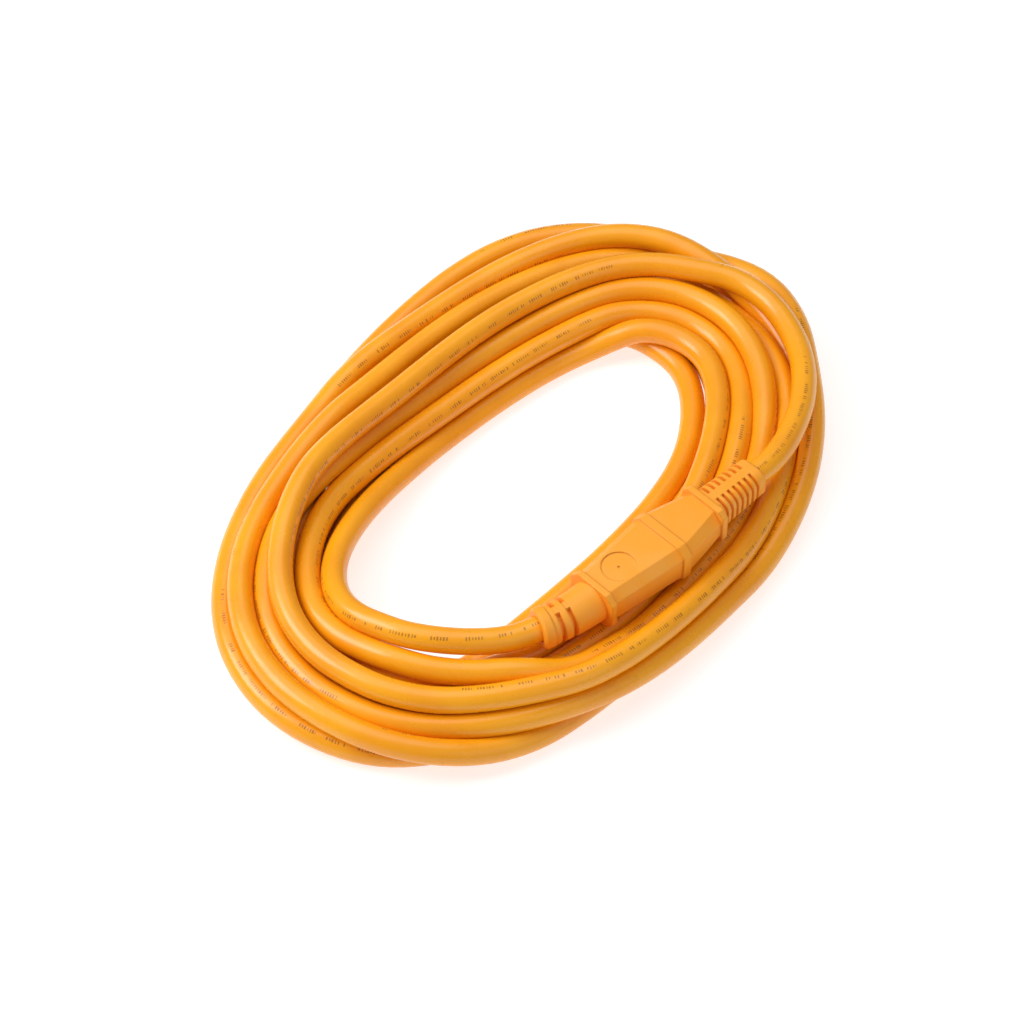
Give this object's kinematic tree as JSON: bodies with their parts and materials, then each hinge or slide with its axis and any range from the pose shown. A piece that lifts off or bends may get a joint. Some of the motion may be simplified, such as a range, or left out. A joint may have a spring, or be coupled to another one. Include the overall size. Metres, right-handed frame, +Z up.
{
  "type": "shore power cord",
  "caption": "Bright orange outdoor power cord wound into an oval coil, its flat two blade plug pushed into its own connector and laid on the turns",
  "frame": {"origin": "under the middle of the coil, on the surface that it lies on", "axes": "X is the long way of the oval coil, with the plug towards +X; Y is its short way, with the plug and connector on the -Y side; Z is up"},
  "size_m": [0.276, 0.18, 0.0353],
  "materials": {
    "jacket_orange": "satin vinyl cord jacket, amber orange",
    "fitting_orange": "soft moulded vinyl, matt orange",
    "block_black": "moulded black insulating plastic",
    "brass_contact": "stamped brass, bare",
    "copper": "stranded bare copper",
    "core_black": "black core insulation",
    "core_white": "white core insulation"
  },
  "bodies": {
    "cord": {"cord_coil": "jacket_orange", "cord_lead_connector": "jacket_orange", "cord_lead_plug": "jacket_orange", "connector_shell": "fitting_orange", "connector_boot": "fitting_orange", "connector_contact_block": "block_black", "connector_block_lid": "block_black", "connector_contact_left": "brass_contact", "connector_contact_right": "brass_contact", "connector_jacket_end": "jacket_orange", "connector_core_black": "core_black", "connector_conductor_left": "copper", "connector_core_white": "core_white", "connector_conductor_right": "copper"},
    "plug": {"plug_shell": "fitting_orange", "plug_boot": "fitting_orange", "plug_bridge": "block_black", "plug_blade_left": "brass_contact", "plug_blade_right": "brass_contact", "plug_jacket_end": "jacket_orange", "plug_core_black": "core_black", "plug_conductor_left": "copper", "plug_core_white": "core_white", "plug_conductor_right": "copper"}
  },
  "joints": [
    {"name": "plug_pull", "type": "slide", "parent": "cord", "child": "plug", "axis": [0.9781, -0.2079, 0], "range_m": [0, 0.028], "deforming": ["cord_lead_plug"]}
  ]
}
